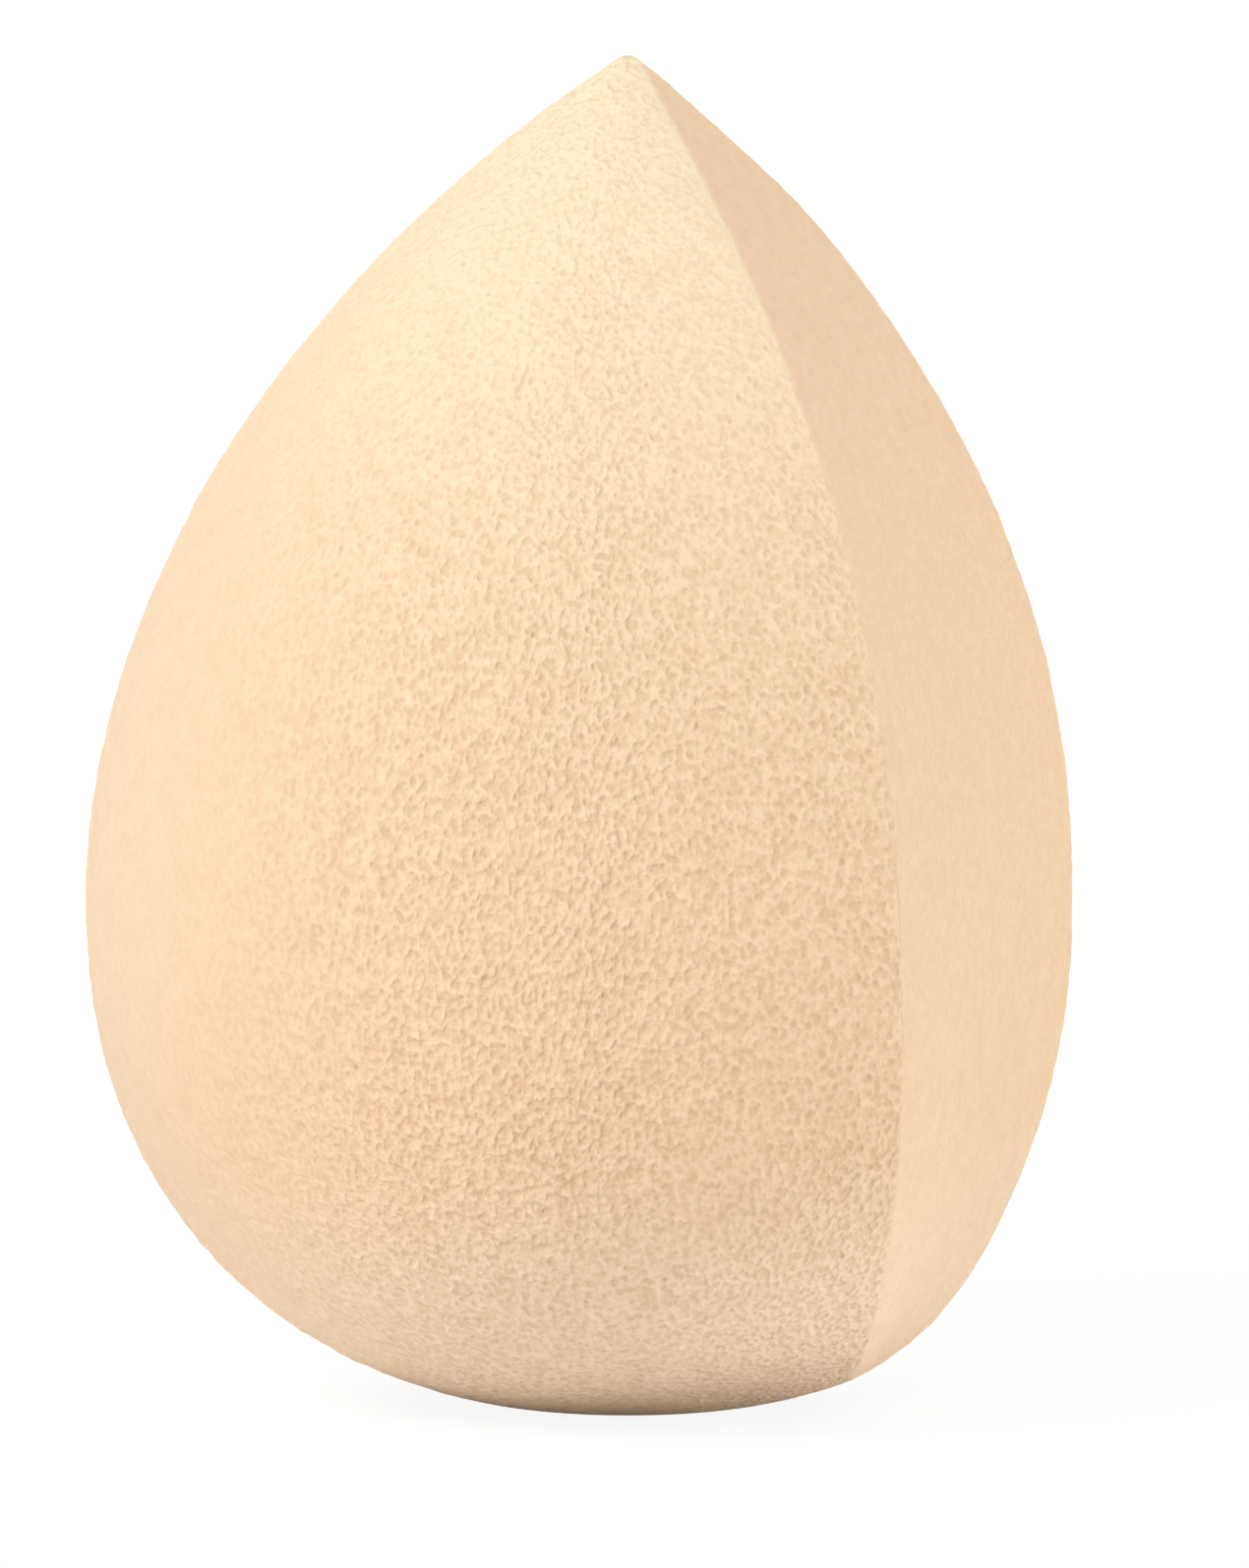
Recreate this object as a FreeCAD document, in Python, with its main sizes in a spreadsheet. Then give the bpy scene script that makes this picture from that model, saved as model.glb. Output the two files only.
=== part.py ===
import FreeCAD, Part
import math
import os
import Sketcher

# Makeup sponge: one piece of soft foam, moulded as a teardrop and sliced along one side.
# Millimetres. Z runs up the teardrop's axis from the seat to the tip. X points out of the sliced facet.

# Driving sizes. Angles are in degrees, measured from the axis.
sizes = {
    "height": 55.0,               # seat to tip
    "belly_diameter": 44.0,       # widest part of the teardrop
    "belly_height": 21.0,         # seat to the widest part
    "seat_diameter": 7.0,         # flat that the foam settles on
    "tip_radius": 0.8,            # soft end of the point
    "tip_half_angle": 55.5,       # slope of the sides where they reach the tip
    "heel_share": 0.29,           # how far the level of the seat runs out under the belly
    "flank_share": 0.8,           # how far the upright of the belly runs down
    "shoulder_share": 0.11,       # how far the upright of the belly runs up
    "crown_share": 0.72,          # how far the slope of the tip runs down
    "facet_depth": 7.0,           # foam sliced away at the facet's fullest place
    "facet_belly_height": 18.0,   # seat to the facet's fullest place
    "facet_foot_radius": 6.0,     # where the slice would reach the level of the seat
    "facet_setback": 0.4,         # from the axis to the start of the slice
    "facet_tip_angle": 42.4,      # slope of the slice where it starts
    "facet_heel_share": 0.88,     # the same four shares for the path of the slice
    "facet_flank_share": 0.2,
    "facet_shoulder_share": 0.15,
    "facet_crown_share": 0.59,
    "ridge_radius": 0.6,          # softness of the edge round the facet
    "cut_overrun": 5.0,           # how far the slice runs past the foam
}

# How a sketch numbers the ends of a piece, the centre of a round one, and its own two axes.
start_index = 1
end_index = 2
centre_index = 3
level_axis_index = -1
upright_axis_index = -2

# Points of the two outlines, each as its distance out from the axis and its height.
points = {
    "seat_centre": ("0", "0"),
    "seat_edge": ("seat_diameter / 2", "0"),
    "heel": ("seat_edge_out + heel_share * (belly_diameter - seat_diameter) / 2", "0"),
    "flank": ("belly_diameter / 2", "belly_height * (1 - flank_share)"),
    "belly": ("belly_diameter / 2", "belly_height"),
    "shoulder": ("belly_diameter / 2", "belly_height + shoulder_share * (height - belly_height)"),
    "tip": ("0", "height"),
    "tip_edge": ("tip_radius * cos(tip_half_angle)", "height - tip_radius * (1 - sin(tip_half_angle))"),
    "crown": (
        "tip_edge_out + crown_share * (height - belly_height) * sin(tip_half_angle)",
        "tip_edge_up - crown_share * (height - belly_height) * cos(tip_half_angle)",
    ),
    "facet_tip": ("facet_setback", "height"),
    "facet_crown": (
        "facet_setback + facet_crown_share * (height - facet_belly_height) * sin(facet_tip_angle)",
        "height - facet_crown_share * (height - facet_belly_height) * cos(facet_tip_angle)",
    ),
    "facet_belly": ("belly_diameter / 2 - facet_depth", "facet_belly_height"),
    "facet_shoulder": (
        "facet_belly_out",
        "facet_belly_height + facet_shoulder_share * (height - facet_belly_height)",
    ),
    "facet_flank": ("facet_belly_out", "facet_belly_height * (1 - facet_flank_share)"),
    "facet_heel": ("facet_foot_radius + facet_heel_share * (facet_belly_out - facet_foot_radius)", "0"),
    "facet_foot": ("facet_foot_radius", "0"),
    "under_foot": ("facet_foot_radius", "-cut_overrun"),
    "under_belly": ("belly_diameter / 2 + cut_overrun", "-cut_overrun"),
    "over_belly": ("belly_diameter / 2 + cut_overrun", "height + cut_overrun"),
    "over_tip": ("facet_setback", "height + cut_overrun"),
}

doc = FreeCAD.newDocument("makeup_sponge")
sheet = doc.addObject("Spreadsheet::Sheet", "sizes")
cells = dict(sizes)
for point, (out, up) in points.items():
    cells[point + "_out"] = "=" + out
    cells[point + "_up"] = "=" + up
for row, (name, content) in enumerate(cells.items(), start=1):
    sheet.set("A%d" % row, name)
    sheet.set("B%d" % row, str(content))
    sheet.setAlias("B%d" % row, name)
doc.recompute()


def place(point):
    return FreeCAD.Vector(sheet.get(point + "_out"), sheet.get(point + "_up"), 0)


def sketch_on(body, plane_role, name):
    plane = next(item for item in body.Origin.OriginFeatures if item.Role == plane_role)
    sketch = body.newObject("Sketcher::SketchObject", name)
    sketch.AttachmentSupport = [(plane, "")]
    sketch.MapMode = "FlatFace"
    return sketch


# Ties a vertex of the sketch to a point. A coordinate that is always zero keeps it on that axis.
def tie(sketch, geometry, vertex, point):
    directions = (("_out", "DistanceX", upright_axis_index), ("_up", "DistanceY", level_axis_index))
    for (suffix, distance, axis), formula in zip(directions, points[point]):
        if formula == "0":
            sketch.addConstraint(Sketcher.Constraint("PointOnObject", geometry, vertex, axis))
        else:
            cell = point + suffix
            origin = (level_axis_index, start_index)
            measure = Sketcher.Constraint(distance, *origin, geometry, vertex, sheet.get(cell))
            sketch.renameConstraint(sketch.addConstraint(measure), cell)
            sketch.setExpression("Constraints." + cell, "sizes." + cell)


def add_line(sketch, start, end):
    return sketch.addGeometry(Part.LineSegment(place(start), place(end)), False)


# A cubic curve between two ends, which leans towards two handles.
def add_curve(sketch, start, first_handle, second_handle, end):
    curve = Part.BezierCurve()
    curve.setPoles([place(point) for point in (start, first_handle, second_handle, end)])
    index = sketch.addGeometry(curve.toBSpline(), False)
    sketch.exposeInternalGeometry(index)
    first_pole = index + 1
    tie(sketch, first_pole + 1, centre_index, first_handle)
    tie(sketch, first_pole + 2, centre_index, second_handle)
    return index


# The round end of the point, from the edge of the slope up to the axis.
def add_tip(sketch):
    centre = place("tip") - FreeCAD.Vector(0, sizes["tip_radius"], 0)
    circle = Part.Circle(centre, FreeCAD.Vector(0, 0, 1), sizes["tip_radius"])
    arc = Part.ArcOfCircle(circle, math.radians(sizes["tip_half_angle"]), math.pi / 2)
    index = sketch.addGeometry(arc, False)
    sketch.addConstraint(Sketcher.Constraint("PointOnObject", index, centre_index, upright_axis_index))
    return index


# Joins the pieces of an outline end to end, the last to the first, and ties where each one starts.
def close_outline(sketch, pieces, starts):
    for piece, following in zip(pieces, pieces[1:] + pieces[:1]):
        sketch.addConstraint(Sketcher.Constraint("Coincident", piece, end_index, following, start_index))
    for piece, start in zip(pieces, starts):
        tie(sketch, piece, start_index, start)


# Edges of the facet's outline, where the sliced face meets the moulded skin.
def ridge_edges(shape):
    names = []
    for number, edge in enumerate(shape.Edges, start=1):
        faces = shape.ancestorsOfType(edge, Part.Face)
        sliced = [isinstance(face.Surface, Part.SurfaceOfExtrusion) for face in faces]
        if any(sliced) and not all(sliced):
            names.append("Edge%d" % number)
    return names


body = doc.addObject("PartDesign::Body", "foam_body")
body.Label = "foam_body"

# The moulded teardrop: half its outline turned about the axis.
outline = sketch_on(body, "YZ_Plane", "teardrop_outline")
seat = add_line(outline, "seat_centre", "seat_edge")
underside = add_curve(outline, "seat_edge", "heel", "flank", "belly")
upper_side = add_curve(outline, "belly", "shoulder", "crown", "tip_edge")
tip = add_tip(outline)
axis = add_line(outline, "tip", "seat_centre")
close_outline(
    outline,
    [seat, underside, upper_side, tip, axis],
    ["seat_centre", "seat_edge", "belly", "tip_edge", "tip"],
)
teardrop = body.newObject("PartDesign::Revolution", "teardrop")
teardrop.Profile = outline
teardrop.ReferenceAxis = (outline, ["V_Axis"])
doc.recompute()

# The slice: a straight blade, level from side to side, follows a bowed path from the tip to the seat.
path = sketch_on(body, "XZ_Plane", "facet_path")
upper_slice = add_curve(path, "facet_tip", "facet_crown", "facet_shoulder", "facet_belly")
lower_slice = add_curve(path, "facet_belly", "facet_flank", "facet_heel", "facet_foot")
corners = ["facet_foot", "under_foot", "under_belly", "over_belly", "over_tip", "facet_tip"]
waste_sides = [add_line(path, start, end) for start, end in zip(corners, corners[1:])]
close_outline(
    path,
    [upper_slice, lower_slice] + waste_sides,
    ["facet_tip", "facet_belly"] + corners[:-1],
)
facet = body.newObject("PartDesign::Pocket", "facet")
facet.Profile = path
facet.Type = "ThroughAll"
facet.SideType = "Symmetric"
doc.recompute()

# The ridge round the facet is a little soft, as sliced foam is.
ridge = body.newObject("PartDesign::Fillet", "ridge")
ridge.Base = (facet, ridge_edges(facet.Shape))
ridge.setExpression("Radius", "sizes.ridge_radius")
doc.recompute()

for item in doc.Objects:
    if "Invalid" in item.State or "Error" in item.State:
        raise RuntimeError("%s did not build" % item.Label)
for smaller, larger in ((facet, teardrop), (ridge, facet)):
    if not smaller.Shape.Volume < larger.Shape.Volume:
        raise RuntimeError("%s took nothing away" % smaller.Label)
if body.Shape.isNull() or not body.Shape.isValid() or len(body.Shape.Solids) != 1:
    raise RuntimeError("%s is not one sound solid" % body.Label)
print("%s: %.1f cubic millimetres, %s" % (body.Label, body.Shape.Volume, body.Shape.BoundBox))

os.makedirs("parts", exist_ok=True)
body.Shape.exportStep("parts/%s.step" % body.Label)
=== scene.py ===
import bpy
import numpy as np
from mathutils import Matrix, Vector


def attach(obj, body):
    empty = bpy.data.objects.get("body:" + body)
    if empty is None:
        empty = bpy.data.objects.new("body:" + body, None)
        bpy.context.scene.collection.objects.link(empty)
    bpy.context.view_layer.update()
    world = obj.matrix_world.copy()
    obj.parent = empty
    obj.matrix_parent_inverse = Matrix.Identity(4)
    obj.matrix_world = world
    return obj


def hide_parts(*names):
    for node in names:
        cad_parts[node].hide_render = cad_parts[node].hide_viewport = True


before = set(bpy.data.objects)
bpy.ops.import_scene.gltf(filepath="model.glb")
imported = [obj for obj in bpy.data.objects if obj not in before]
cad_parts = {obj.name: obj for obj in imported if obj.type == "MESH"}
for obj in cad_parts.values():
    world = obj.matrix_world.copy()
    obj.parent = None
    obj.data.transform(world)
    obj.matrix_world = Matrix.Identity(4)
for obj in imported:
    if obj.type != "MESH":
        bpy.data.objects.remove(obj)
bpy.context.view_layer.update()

mm = 0.001


# sRGB hex to the linear colour that sockets take
def toLinear(hexColour):
    parts = np.array([int(hexColour[i:i + 2], 16) for i in (1, 3, 5)]) / 255.0
    linear = np.where(parts <= 0.04045, parts / 12.92, ((parts + 0.055) / 1.055) ** 2.4)
    return (*linear.tolist(), 1.0)


# one node with its settings, its fixed inputs and its links
def addNode(tree, kind, settings=None, values=None, links=None):
    node = tree.nodes.new(kind)
    for name, value in (settings or {}).items():
        setattr(node, name, value)
    for name, value in (values or {}).items():
        node.inputs[name].default_value = value
    for name, source in (links or {}).items():
        tree.links.new(source, node.inputs[name])
    return node


# the sponge, in millimetres and degrees; the angles are from the upright axis
sponge = {
    "height": 55.0,
    "bellyWidth": 44.0,
    "bellyHeight": 21.0,
    "seatWidth": 7.0,
    "tipRadius": 0.8,
    "tipAngle": 55.5,
    "heelShare": 0.29,
    "flankShare": 0.8,
    "shoulderShare": 0.11,
    "crownShare": 0.72,
    "cutDepth": 7.0,            # foam sliced off at the fullest place of the facet
    "cutBellyHeight": 18.0,
    "cutFootRadius": 6.0,
    "cutSetback": 0.4,
    "cutAngle": 42.4,
    "cutHeelShare": 0.88,
    "cutFlankShare": 0.2,
    "cutShoulderShare": 0.15,
    "cutCrownShare": 0.59,
    "cutOverrun": 8.0,          # the slice runs on this far past the foam
    "ridgeBlend": 0.22,         # softness of the edge between skin and facet
    "ridgeBand": 0.5,           # the grain is calmer, and the colour painted lighter as a highlight of the rounded edge, about this far from the edge
    "ridgeCalmFrom": 18.0,    # from this height up
    "ridgeCalmOver": 14.0,
    "heartHeight": 27.0,        # the point inside that the surface is measured from
    "curveSteps": 1500,
    "arcSteps": 200,
    "gridCells": 220,           # along the edge of each of the six patches
    "mapBorder": 0.004,         # share of a patch of the map that stays empty at its edge
    "seatFade": 1.5,            # the relief dies away over this height above the seat
    "reliefLimit": 0.3,
    # relief of the skin: wavelength, height, how much of it is left on the facet, seed
    "relief": [(16.0, 0.04, 1.0, 11), (4.0, 0.006, 0.7, 12), (1.1, 0.010, 0.6, 13), (0.62, 0.012, 0.3, 14)],
}


# cubic curve: the four points weighted by (1-t)^3, 3t(1-t)^2, 3t^2(1-t) and t^3
def cubicCurve(start, firstHandle, secondHandle, end, steps):
    t = np.linspace(0.0, 1.0, steps)[:, None]
    poles = [np.asarray(point, float) for point in (start, firstHandle, secondHandle, end)]
    weights = ((1 - t) ** 3, 3 * t * (1 - t) ** 2, 3 * t ** 2 * (1 - t), t ** 3)
    return sum(weight * pole for weight, pole in zip(weights, poles))


# half outline of the teardrop and path of the slice, as distance out from the axis and height
def spongeOutlines(s):
    top, belly, widest = s["height"], s["bellyWidth"] / 2, s["bellyHeight"]
    seat, cap = s["seatWidth"] / 2, s["tipRadius"]
    steps, arcSteps = s["curveSteps"], s["arcSteps"]
    lean = np.radians(s["tipAngle"])
    slope = np.array([np.sin(lean), -np.cos(lean)])
    tipEdge = np.array([cap * np.cos(lean), top - cap * (1 - np.sin(lean))])
    rise = top - widest
    flat = np.stack([np.linspace(0, seat, arcSteps), np.zeros(arcSteps)], 1)
    under = cubicCurve((seat, 0), (seat + s["heelShare"] * (belly - seat), 0),
                       (belly, widest * (1 - s["flankShare"])), (belly, widest), steps)
    upper = cubicCurve((belly, widest), (belly, widest + s["shoulderShare"] * rise),
                       tipEdge + s["crownShare"] * rise * slope, tipEdge, steps)
    turn = np.linspace(lean, np.pi / 2, arcSteps)
    tip = np.stack([cap * np.cos(turn), top - cap + cap * np.sin(turn)], 1)
    skin = np.vstack([flat, under[1:], upper[1:], tip[1:]])

    out, fullest = belly - s["cutDepth"], s["cutBellyHeight"]
    cutRise = top - fullest
    cutLean = np.radians(s["cutAngle"])
    cutSlope = np.array([np.sin(cutLean), -np.cos(cutLean)])
    start = np.array([s["cutSetback"], top])
    foot = np.array([s["cutFootRadius"], 0.0])
    upperCut = cubicCurve(start, start + s["cutCrownShare"] * cutRise * cutSlope,
                          (out, fullest + s["cutShoulderShare"] * cutRise), (out, fullest), steps)
    lowerCut = cubicCurve((out, fullest), (out, fullest * (1 - s["cutFlankShare"])),
                          foot + [s["cutHeelShare"] * (out - foot[0]), 0], foot, steps)
    above, below = start - s["cutOverrun"] * cutSlope, foot - [0, s["cutOverrun"]]
    return skin, np.vstack([above, upperCut, lowerCut[1:], below])


# an outline as distance from the heart against the angle from straight up
def polarTable(outline, heartHeight):
    out, up = outline[:, 0], outline[:, 1] - heartHeight
    angle = np.arctan2(out, up)
    order = np.argsort(angle)
    return angle[order], np.hypot(out, up)[order]


# six grids on the faces of a cube; points that two or three faces share are kept once.
# Each grid line is spaced by equal angles, so tan() of the angle gives its place on the cube
def cubeDirections(cells):
    a, b = np.meshgrid(np.arange(cells + 1), np.arange(cells + 1), indexing="ij")
    low, high = np.zeros_like(a), np.full_like(a, cells)
    faces = [(high, a, b), (cells - a, high, b), (low, cells - a, b),
             (a, low, b), (cells - b, a, high), (b, a, low)]
    lattice = np.stack([np.stack(face, -1) for face in faces])
    key = lattice @ np.array([1, cells + 1, (cells + 1) ** 2])
    first, index = np.unique(key, return_index=True, return_inverse=True)[1:]
    cube = np.tan((lattice.reshape(-1, 3)[first] / cells - 0.5) * np.pi / 2)
    directions = cube / np.linalg.norm(cube, axis=1, keepdims=True)
    index = index.reshape(6, cells + 1, cells + 1)
    corners = (index[:, :-1, :-1], index[:, 1:, :-1], index[:, 1:, 1:], index[:, :-1, 1:])
    return directions, np.stack(corners, -1).reshape(-1, 4)


# from the heart, each direction goes out to the skin or to the slice, whichever is nearer.
# Where the two differ by less than k, the nearer one less (k - difference)^2 / 4k rounds the ridge,
# and across the middle of that band the facet's share grows from 0 to 1.
# Closeness to the ridge is exp(-(difference / band)^2), and it grows from nothing with height
def spongeSurface(s):
    directions, quads = cubeDirections(s["gridCells"])
    skin, cut = spongeOutlines(s)
    x, y, z = directions.T
    toSkin = np.interp(np.arctan2(np.hypot(x, y), z), *polarTable(skin, s["heartHeight"]))
    tiny = 1e-6     # directions along Y never meet the slice, and this keeps them from dividing by zero
    toCut = np.interp(np.arctan2(x, z), *polarTable(cut, s["heartHeight"]))
    toCut = np.where(x > 0, toCut / np.maximum(np.hypot(x, z), tiny), np.inf)
    k = s["ridgeBlend"]
    past = toSkin - toCut
    overlap = np.clip(k - np.abs(past), 0, None)
    reach = np.minimum(toSkin, toCut) - overlap ** 2 / (4 * k)
    points = directions * reach[:, None] + [0, 0, s["heartHeight"]]
    cutShare = np.clip(past / k + 0.5, 0, 1)
    nearRidge = np.exp(-(past / np.where(past < 0, s["ridgeBand"], k)) ** 2)
    nearRidge *= np.clip((points[:, 2] - s["ridgeCalmFrom"]) / s["ridgeCalmOver"], 0, 1)
    return points, quads, cutShare, nearRidge


# each point's normal is the sum of the crossed diagonals of the quads round it
def pointNormals(points, quads):
    corner = points[quads]
    crossed = np.cross(corner[:, 2] - corner[:, 0], corner[:, 3] - corner[:, 1])
    total = [np.bincount(quads.ravel(), np.repeat(crossed[:, axis], 4), len(points)) for axis in range(3)]
    total = np.stack(total, 1)
    return total / np.linalg.norm(total, axis=1, keepdims=True)


# swells: at each corner of a cubic lattice a random slope; a point adds up the slopes of the
# eight corners round it, each weighted by 6t^5 - 15t^4 + 10t^3 along the three axes
def foamSwells(points, wavelength, seed):
    latticeStep = 0.72 * wavelength     # the swells then come to about that wavelength
    place = points / latticeStep
    place = place - place.min(0) + 1
    cell = np.floor(place).astype(int)
    t = place - cell
    slopes = np.random.default_rng(seed).normal(size=(*(cell.max(0) + 2), 3)).astype(np.float32)
    blend = t ** 3 * (t * (6 * t - 15) + 10)
    total = np.zeros(len(points))
    for corner in np.ndindex(2, 2, 2):
        weight = np.prod(np.where(np.array(corner) == 1, blend, 1 - blend), axis=1)
        slope = slopes[tuple((cell + corner).T)]
        total += weight * np.einsum("ij,ij->i", slope, t - corner)
    return total / total.std()


# the relief stands on the smooth form along its normals, and grows from nothing
# above the flat seat by 3t^2 - 2t^3
def raiseRelief(points, quads, cutShare, s):
    normals = pointNormals(points, quads)
    fade = np.clip(points[:, 2] / s["seatFade"], 0, 1)
    fade = fade ** 2 * (3 - 2 * fade)
    height = np.zeros(len(points))
    for wavelength, size, facetShare, seed in s["relief"]:
        height += foamSwells(points, wavelength, seed) * size * (1 - (1 - facetShare) * cutShare)
    height = np.clip(height, -s["reliefLimit"], s["reliefLimit"])
    return points + normals * (height * fade)[:, None]


# every patch of the cube gets a sixth of the map, three across and two up, with a thin border
def patchMap(cells, border):
    i, j = np.meshgrid(np.arange(cells), np.arange(cells), indexing="ij")
    corners = [np.stack([i + di, j + dj], -1) for di, dj in ((0, 0), (1, 0), (1, 1), (0, 1))]
    spread = border + np.stack(corners, 2) / cells * (1 - 2 * border)
    shifts = np.array([(patch % 3, patch // 3) for patch in range(6)])
    return ((spread[None] + shifts[:, None, None, None, :]) / [3, 2]).reshape(-1, 2)


def makeSponge(s):
    points, quads, cutShare, nearRidge = spongeSurface(s)
    points = raiseRelief(points, quads, cutShare, s)
    mesh = bpy.data.meshes.new("foamSponge")
    mesh.vertices.add(len(points))
    mesh.vertices.foreach_set("co", (points * mm).ravel())
    mesh.loops.add(quads.size)
    mesh.loops.foreach_set("vertex_index", quads.ravel())
    mesh.polygons.add(len(quads))
    mesh.polygons.foreach_set("loop_start", np.arange(0, quads.size, 4))
    mesh.polygons.foreach_set("use_smooth", np.ones(len(quads), bool))
    mesh.update(calc_edges=True)
    corners = patchMap(s["gridCells"], s["mapBorder"])
    mesh.uv_layers.new(name="OFBake").data.foreach_set("uv", corners.ravel())
    mesh.attributes.new("cutShare", "FLOAT", "POINT").data.foreach_set("value", cutShare)
    mesh.attributes.new("nearRidge", "FLOAT", "POINT").data.foreach_set("value", nearRidge)
    piece = bpy.data.objects.new("foamSponge", mesh)
    bpy.context.collection.objects.link(piece)
    print("sponge: %d points, %d quads" % (len(points), len(quads)))
    return piece


piece = makeSponge(sponge)
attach(piece, "root")
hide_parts("foam_body")


# polyurethane foam, moulded with a fine open skin and sliced with a blade on one side.
# Matt and soft: no highlight, a little light under the surface, and fine grain that shows
# where light grazes it.
# Sizes are in millimetres; a shade is a share of the shade-and-mark colour, which paints shade into the
# gaps and pores and also tints the blade marks and clouds of dye
foam = {
    "skin": "#F9DAB6",              # tops of the bumps; with the painted shade of the gaps it comes to about #F3D3AE
    "rosyShadedLow": "#F9D8B4",           # a little darker and rosier below the belly: painted shade of the lower half, which gets less light
    "paleLitSide": "#FAE0C1",          # paler on the left side, where the key light falls head-on: painted light
    # paler and yellower towards the tip: painted light, as more light falls on the top
    "paleLitTip": "#FDEBC7",
    "cutFace": "#FADBB8",
    # paler towards the seat: painted light, as if lit from below where the floor shades it
    "paleLitSeat": "#FFE7CC",
    "shadeAndMarkColour": "#DFCFBC",            # painted shade, multiplied into the colour in the gaps and pores; it also tints the blade marks and clouds of dye
    # each colour comes in along an axis, from the first place to the second
    "colourRanges": {"rosyShadedLow": ("Z", 30.0, 10.0), "paleLitSide": ("X", -10.0, -22.0),
                     "paleLitTip": ("Z", 26.0, 57.0), "paleLitSeat": ("Z", 14.0, 2.0)},
    "calmTipHeights": (28.0, 50.0),   # the grain is calmer towards the tip, and its painted gap shade lighter, which paints the top lighter
    "waveRoughness": 0.4,           # share of the finer waves in the patterns below
    "grainWidth": 0.27,             # a bump with its gap
    "grainStretch": 0.78,           # cells are longer upwards, the way the foam rises in the mould
    "grainHeight": 0.25,
    "calmTipGrain": 0.57,             # share of that height at the tip
    "gapStart": (0.64, 0.58),       # the grain pattern is a gap below this, at the belly and at the tip
    "gapEnd": 0.30,                 # and a full gap here
    "gapShade": (0.54, 0.28),       # painted shade in the gaps, at the belly and at the tip
    "plainShade": 0.25,             # even painted shade where the grain is calmed
    "ridgeHighlightShade": 0.12,             # less painted shade along the ridge: a painted highlight of its rounded edge
    "cutGrain": 0.28,               # share of the grain that the blade leaves on the facet
    "leftLitGrain": 0.20,           # share on the left side, away from the slice, where the key light falls head-on: the grain and its painted gap shade are calmed there, as that light would hide them
    "leftLitFrom": -17.0,           # along X, from that share
    "leftLitTo": -3.0,              # to the whole of the grain
    "ridgeGrain": 0.70,             # share along the ridge
    "fineWidth": 0.13,              # cell walls on the bumps
    "fineHeight": 0.02,
    "poreSpacing": 0.8,             # between the odd open cells
    "poreShare": 0.4,               # of the cells are open
    "poreWidth": 0.20,
    "poreRimShares": (1.3, 0.4),    # of its half width, where a pit starts and where it is full
    "poreDepth": 0.04,
    # painted shade in the open pits
    "poreShade": 0.3,
    "bladeWidth": 0.5,              # level marks of the blade on the facet
    "bladeStretch": 0.45,           # width of a mark to its length
    "bladeHeight": 0.008,
    "bladeShade": 0.10,
    "bladeRange": (0.3, 0.7),       # values of the pattern from no shade to the full one
    "cloudWidth": 1.3,              # faint cloudiness of the dye
    "cloudShade": 0.10,
    "cloudRange": (0.35, 0.75),
    "roughness": 0.92,
    "ior": 1.4,
    "gloss": 0.25,
    "softShare": 0.2,               # light that goes under the surface
    "softDepth": 0.6,               # and how far
    "softTint": (1.0, 0.7, 0.45),   # red goes the furthest
}


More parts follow.
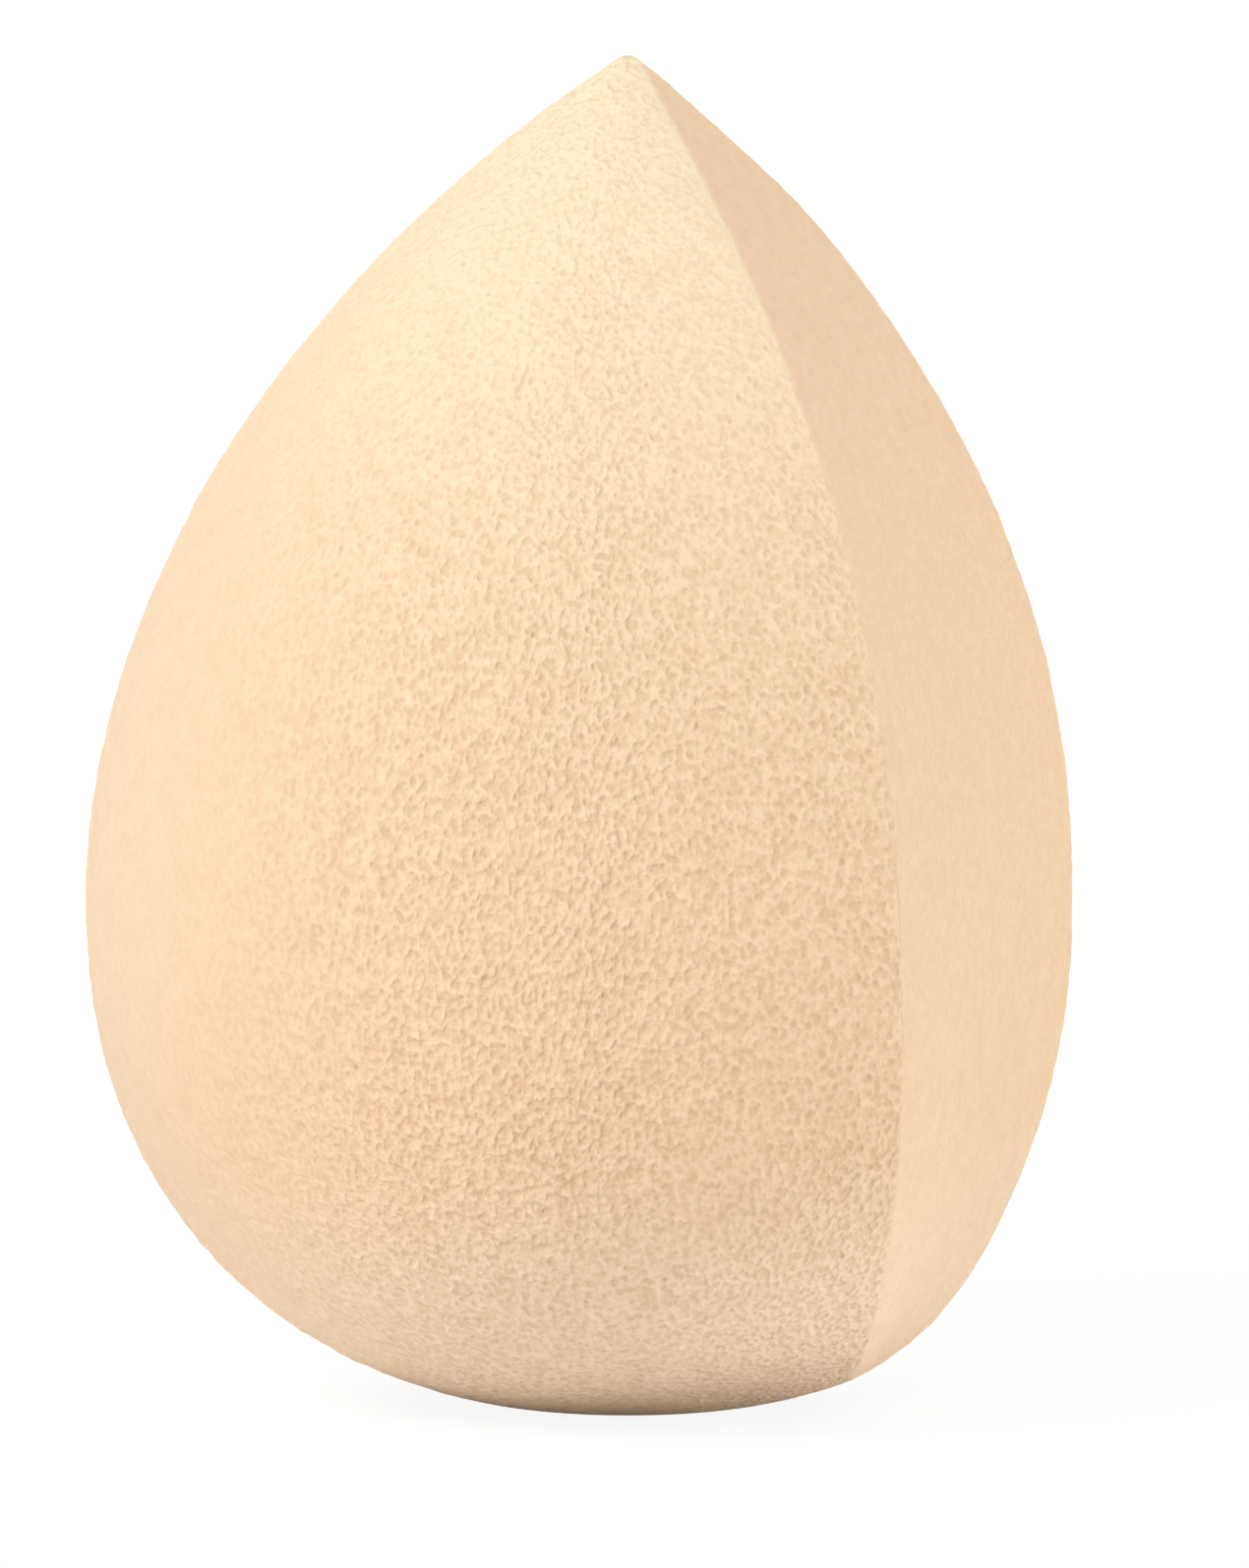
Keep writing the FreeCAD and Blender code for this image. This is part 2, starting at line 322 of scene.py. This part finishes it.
def makeFoam(f):
    material = bpy.data.materials.new("polyurethaneFoamMoulded")
    material.use_nodes = True
    tree = material.node_tree
    tree.nodes.clear()
    smooth = {"interpolation_type": "SMOOTHSTEP"}
    product = {"operation": "MULTIPLY"}
    productPlus = {"operation": "MULTIPLY_ADD"}
    place = addNode(tree, "ShaderNodeTexCoord").outputs["Object"]
    axes = addNode(tree, "ShaderNodeSeparateXYZ", links={"Vector": place}).outputs
    cutShare = addNode(tree, "ShaderNodeAttribute", {"attribute_name": "cutShare"}).outputs["Fac"]
    nearRidge = addNode(tree, "ShaderNodeAttribute", {"attribute_name": "nearRidge"}).outputs["Fac"]
    low, high = f["calmTipHeights"]
    towardsTip = addNode(tree, "ShaderNodeMapRange", smooth, {"From Min": low * mm, "From Max": high * mm},
                    {"Value": axes["Z"]}).outputs[0]

    # bumps, finer walls on them, level marks of the blade and clouds of dye
    rising = addNode(tree, "ShaderNodeMapping", values={"Scale": (1, 1, f["grainStretch"])},
                     links={"Vector": place}).outputs[0]
    level = addNode(tree, "ShaderNodeMapping", values={"Scale": (1, f["bladeStretch"], 1)},
                    links={"Vector": place}).outputs[0]
    pattern = {}
    for name, vector, detail in (("grain", rising, 1.0), ("fine", place, 0.0),
                                 ("blade", level, 1.0), ("cloud", place, 2.0)):
        pattern[name] = addNode(tree, "ShaderNodeTexNoise",
                                values={"Scale": 1 / (f[name + "Width"] * mm), "Detail": detail,
                                        "Roughness": f["waveRoughness"]},
                                links={"Vector": vector}).outputs["Fac"]

    # open cells: a round pit in some cells of a lattice
    cells = addNode(tree, "ShaderNodeTexVoronoi", values={"Scale": 1 / (f["poreSpacing"] * mm)},
                    links={"Vector": rising}).outputs
    poreEdge = f["poreWidth"] / 2 / f["poreSpacing"]
    rim, bottom = [share * poreEdge for share in f["poreRimShares"]]
    pore = addNode(tree, "ShaderNodeMapRange", smooth, {"From Min": rim, "From Max": bottom},
                   {"Value": cells["Distance"]}).outputs[0]
    chance = addNode(tree, "ShaderNodeSeparateColor", links={"Color": cells["Color"]}).outputs["Red"]
    chosen = addNode(tree, "ShaderNodeMath", {"operation": "GREATER_THAN"}, {1: 1 - f["poreShare"]},
                     {0: chance}).outputs[0]
    pore = addNode(tree, "ShaderNodeMath", product, links={0: pore, 1: chosen}).outputs[0]

    # share of the grain that is left on the facet, on the left side where the key light falls head-on, and
    # along the ridge
    left = None
    for value, start, end, atStart, atEnd in (
            (cutShare, 0.0, 1.0, 1.0, f["cutGrain"]),
            (axes["X"], f["leftLitFrom"] * mm, f["leftLitTo"] * mm, f["leftLitGrain"], 1.0),
            (nearRidge, 0.0, 1.0, 1.0, f["ridgeGrain"])):
        calm = addNode(tree, "ShaderNodeMapRange", smooth,
                       {"From Min": start, "From Max": end, "To Min": atStart, "To Max": atEnd},
                       {"Value": value}).outputs[0]
        if left is not None:
            calm = addNode(tree, "ShaderNodeMath", product, links={0: left, 1: calm}).outputs[0]
        left = calm

    # height in millimetres, lower at the tip
    firm = addNode(tree, "ShaderNodeMix", {"data_type": "FLOAT"}, {"A": 1.0, "B": f["calmTipGrain"]},
                   {"Factor": towardsTip}).outputs["Result"]
    height = addNode(tree, "ShaderNodeMath", product, {1: f["grainHeight"]},
                     {0: pattern["grain"]}).outputs[0]
    for source, size in ((pattern["fine"], f["fineHeight"]), (pore, -f["poreDepth"])):
        height = addNode(tree, "ShaderNodeMath", productPlus, {1: size}, {0: source, 2: height}).outputs[0]
    for share in (left, firm):
        height = addNode(tree, "ShaderNodeMath", product, links={0: height, 1: share}).outputs[0]
    mark = addNode(tree, "ShaderNodeMath", product, {1: f["bladeHeight"]},
                   {0: pattern["blade"]}).outputs[0]
    height = addNode(tree, "ShaderNodeMath", productPlus,
                     links={0: mark, 1: cutShare, 2: height}).outputs[0]
    bump = addNode(tree, "ShaderNodeBump", values={"Strength": 1.0, "Distance": mm},
                   links={"Height": height}).outputs["Normal"]

    # each colour lies over the ones before it; the rosier low colour is painted shade, and the paler side,
    # tip and seat are painted light
    shares = {"cutFace": cutShare}
    for name, (axis, absent, full) in f["colourRanges"].items():
        shares[name] = addNode(tree, "ShaderNodeMapRange", smooth,
                               {"From Min": absent * mm, "From Max": full * mm},
                               {"Value": axes[axis]}).outputs[0]
    under = {}
    for name in ("rosyShadedLow", "paleLitSide", "paleLitTip", "cutFace", "paleLitSeat"):
        colour = addNode(tree, "ShaderNodeMix", {"data_type": "RGBA"},
                         {"A": toLinear(f["skin"]), "B": toLinear(f[name])},
                         {"Factor": shares[name], **under}).outputs["Result"]
        under = {"A": colour}

    # painted shade in the gaps and the pores, less of it along the ridge as a painted highlight, then marks
    # of the blade and clouds of dye
    gapStart, gapShade = [addNode(tree, "ShaderNodeMix", {"data_type": "FLOAT"},
                                  {"A": atBelly, "B": atTip}, {"Factor": towardsTip}).outputs["Result"]
                          for atBelly, atTip in (f["gapStart"], f["gapShade"])]
    gap = addNode(tree, "ShaderNodeMapRange", values={"From Min": f["gapEnd"], "To Max": 0.0},
                  links={"Value": pattern["grain"], "From Max": gapStart, "To Min": gapShade}).outputs[0]
    gap = addNode(tree, "ShaderNodeMath", productPlus, {1: f["poreShade"]}, {0: pore, 2: gap}).outputs[0]
    # lighter towards the ridge: a painted highlight of its rounded edge
    plain = addNode(tree, "ShaderNodeMapRange",
                    values={"To Min": f["plainShade"], "To Max": f["ridgeHighlightShade"]},
                    links={"Value": nearRidge}).outputs[0]
    shade = addNode(tree, "ShaderNodeMix", {"data_type": "FLOAT"},
                    links={"A": plain, "B": gap, "Factor": left}).outputs["Result"]
    shades = {}
    for name in ("blade", "cloud"):
        faint, full = f[name + "Range"]
        shades[name] = addNode(tree, "ShaderNodeMapRange",
                               values={"From Min": faint, "From Max": full, "To Max": f[name + "Shade"]},
                               links={"Value": pattern[name]}).outputs[0]
    shade = addNode(tree, "ShaderNodeMath", productPlus,
                    links={0: shades["blade"], 1: cutShare, 2: shade}).outputs[0]
    shade = addNode(tree, "ShaderNodeMath", {"operation": "ADD"},
                    links={0: shade, 1: shades["cloud"]}).outputs[0]
    colour = addNode(tree, "ShaderNodeMix", {"data_type": "RGBA", "blend_type": "MULTIPLY"},
                     {"B": toLinear(f["shadeAndMarkColour"])}, {"A": colour, "Factor": shade}).outputs["Result"]
    shader = addNode(tree, "ShaderNodeBsdfPrincipled",
                     values={"Roughness": f["roughness"], "IOR": f["ior"], "Specular IOR Level": f["gloss"],
                             "Subsurface Weight": f["softShare"], "Subsurface Radius": f["softTint"],
                             "Subsurface Scale": f["softDepth"] * mm},
                     links={"Base Color": colour, "Normal": bump}).outputs["BSDF"]
    addNode(tree, "ShaderNodeOutputMaterial", links={"Surface": shader})
    print("foam material made")
    return material


piece.data.materials.append(makeFoam(foam))


# 1 for rays that show a surface, straight, in a mirror or through glass,
# and 0 for rays that only carry light
def showingRays(tree):
    rays = addNode(tree, "ShaderNodeLightPath").outputs
    shown = rays["Is Camera Ray"]
    for kind in ("Is Glossy Ray", "Is Transmission Ray"):
        shown = addNode(tree, "ShaderNodeMath", {"operation": "MAXIMUM"},
                        links={0: shown, 1: rays[kind]}).outputs[0]
    return shown


# plain pale floor: white to the camera, with a faint shadow of the sponge left on it
floorSet = {
    "width": 1.2,               # metres
    "paper": "#FDFDFC",
    "shadowShare": 0.15,
    "whiteStrength": 1.06,      # makes up for that share of shaded paper
}


def makeFloor(s):
    half = s["width"] / 2
    mesh = bpy.data.meshes.new("paperFloor")
    corners = [(-half, -half, 0), (half, -half, 0), (half, half, 0), (-half, half, 0)]
    mesh.from_pydata(corners, [], [(0, 1, 2, 3)])
    floor = bpy.data.objects.new("paperFloor", mesh)
    bpy.context.collection.objects.link(floor)
    material = bpy.data.materials.new("paperMattWhite")
    material.use_nodes = True
    tree = material.node_tree
    tree.nodes.clear()
    share = addNode(tree, "ShaderNodeMath", {"operation": "MULTIPLY"}, {1: 1 - s["shadowShare"]},
                    {0: showingRays(tree)}).outputs[0]
    paper = addNode(tree, "ShaderNodeBsdfDiffuse", values={"Color": toLinear(s["paper"])}).outputs[0]
    white = addNode(tree, "ShaderNodeEmission",
                    values={"Color": (1, 1, 1, 1), "Strength": s["whiteStrength"]}).outputs[0]
    mixed = addNode(tree, "ShaderNodeMixShader", links={0: share, 1: paper, 2: white}).outputs[0]
    addNode(tree, "ShaderNodeOutputMaterial", links={"Surface": mixed})
    mesh.materials.append(material)
    print("floor made")


makeFloor(floorSet)


# soft studio light: place and aim in metres round the sponge, width in metres, power in watts
studio = {
    "lamps": {
        "keyLeft": {"place": (-0.33, -0.56, 0.61), "aim": (0, 0, 0.025), "width": 0.35, "power": 3.4},
        "fillRight": {"place": (0.79, 0.13, 0.03), "aim": (0, 0, 0.02), "width": 0.09, "power": 2.1},
        "fillFront": {"place": (-0.4, -0.7, 0.025), "aim": (0, 0, 0.01), "width": 0.2, "power": 0.6},
        "fillBack": {"place": (-0.2, 0.75, 0.12), "aim": (0, 0, 0.025), "width": 0.35, "power": 1.6},
    },
    "skyStrength": 0.58,
    "whiteStrength": 1.0,
}


def makeLights(s):
    for name, spec in s["lamps"].items():
        data = bpy.data.lights.new(name, "AREA")
        data.shape = "DISK"
        data.size = spec["width"]
        data.energy = spec["power"]
        lamp = bpy.data.objects.new(name, data)
        bpy.context.collection.objects.link(lamp)
        lamp.visible_camera = False
        lamp.location = spec["place"]
        towards = Vector(spec["aim"]) - Vector(spec["place"])
        lamp.rotation_euler = towards.to_track_quat("-Z", "Y").to_euler()
    world = bpy.data.worlds.new("whiteStudio")
    bpy.context.scene.world = world
    world.use_nodes = True
    tree = world.node_tree
    tree.nodes.clear()
    sky, white = [addNode(tree, "ShaderNodeBackground",
                          values={"Color": (1, 1, 1, 1), "Strength": s[name]}).outputs[0]
                  for name in ("skyStrength", "whiteStrength")]
    mixed = addNode(tree, "ShaderNodeMixShader", links={0: showingRays(tree), 1: sky, 2: white}).outputs[0]
    addNode(tree, "ShaderNodeOutputWorld", links={"Surface": mixed})
    print("lights made")


makeLights(studio)


# long lens, a little above level; the frame is upright, and its long side is the sensor's width
view = {
    "azimuth": 12.86,
    "elevation": 6.57,
    "sensor": 36.0,
    "lens": 1000.0,
    "frameHeight": 63.647,      # millimetres at the sponge
    "aside": -0.15,             # middle of the frame from the origin, in millimetres
    "above": 25.08,
    "clip": (0.05, 20.0),       # metres
}


def makeCamera(v):
    a, e = np.radians(v["azimuth"]), np.radians(v["elevation"])
    right = np.array([np.cos(a), np.sin(a), 0])
    up = np.array([-np.sin(a) * np.sin(e), np.cos(a) * np.sin(e), np.cos(e)])
    back = np.array([np.sin(a) * np.cos(e), -np.cos(a) * np.cos(e), np.sin(e)])
    data = bpy.data.cameras.new("photoCamera")
    data.sensor_width = v["sensor"]
    data.lens = v["lens"]
    data.clip_start, data.clip_end = v["clip"]
    camera = bpy.data.objects.new("photoCamera", data)
    bpy.context.collection.objects.link(camera)
    distance = v["frameHeight"] * v["lens"] / v["sensor"]
    place = (right * v["aside"] + up * v["above"] + back * distance) * mm
    turn = Matrix(np.stack([right, up, back], 1).tolist()).to_4x4()
    camera.matrix_world = Matrix.Translation(place) @ turn
    bpy.context.scene.camera = camera
    print("camera %.3f m away" % (distance * mm))


makeCamera(view)
bpy.context.scene.view_settings.view_transform = "Standard"
